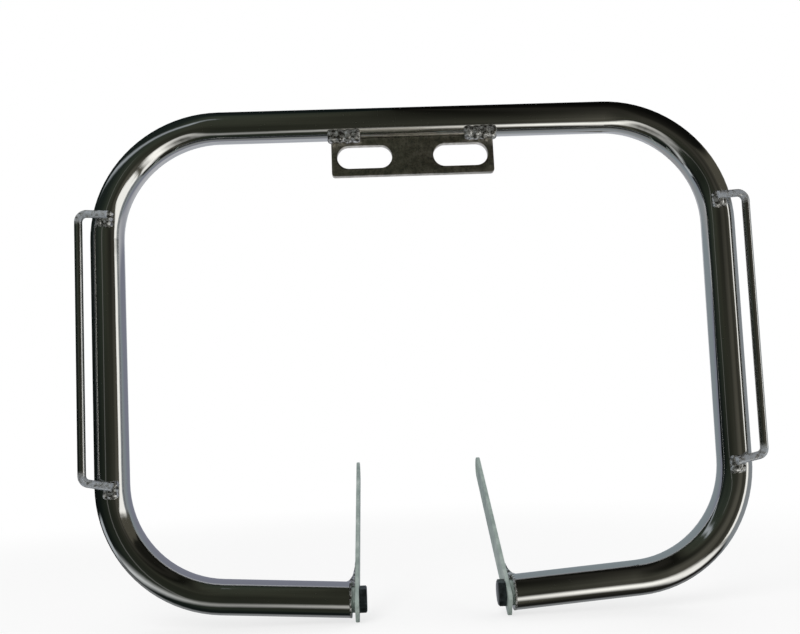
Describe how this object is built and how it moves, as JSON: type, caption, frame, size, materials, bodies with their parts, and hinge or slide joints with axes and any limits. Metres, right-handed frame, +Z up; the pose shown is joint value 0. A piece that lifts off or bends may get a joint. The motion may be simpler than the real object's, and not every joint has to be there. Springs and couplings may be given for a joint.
{
  "type": "motorcycle crash bars",
  "caption": "Bent chrome tube hoop with a slotted fixing plate under its top, guard rods along its sides and flat rear straps bolted to its lower ends, shielding the front of a motorcycle.",
  "frame": {"origin": "middle of the two slots of the top plate, on the hoop's centre plane", "axes": "+Z up as mounted, +X to the right seen from the front, +Y back towards the motorcycle"},
  "size_m": [0.5262, 0.1671, 0.3954],
  "materials": {
    "chrome_tube": "bright chrome plating on a bent steel tube and rod",
    "plate_chrome": "chrome plating on rolled plate, slightly grained",
    "weld_metal": "lumpy weld bead, plated over",
    "zinc_steel": "zinc plated flat bar with a dull grey-green cast",
    "bolt_steel": "blackened hexagon bolt"
  },
  "bodies": {
    "root": {"main_hoop": "chrome_tube", "top_plate": "plate_chrome", "right_side_rod": "chrome_tube", "left_side_rod": "chrome_tube", "right_upper_rod_weld": "weld_metal", "left_upper_rod_weld": "weld_metal", "right_lower_rod_weld": "weld_metal", "left_lower_rod_weld": "weld_metal", "right_plate_weld": "weld_metal", "left_plate_weld": "weld_metal", "right_strap": "zinc_steel", "left_strap": "zinc_steel", "right_strap_bolt": "bolt_steel", "left_strap_bolt": "bolt_steel", "right_end_nut": "zinc_steel", "left_end_nut": "zinc_steel", "right_end_weld": "weld_metal", "left_end_weld": "weld_metal"}
  },
  "joints": []
}
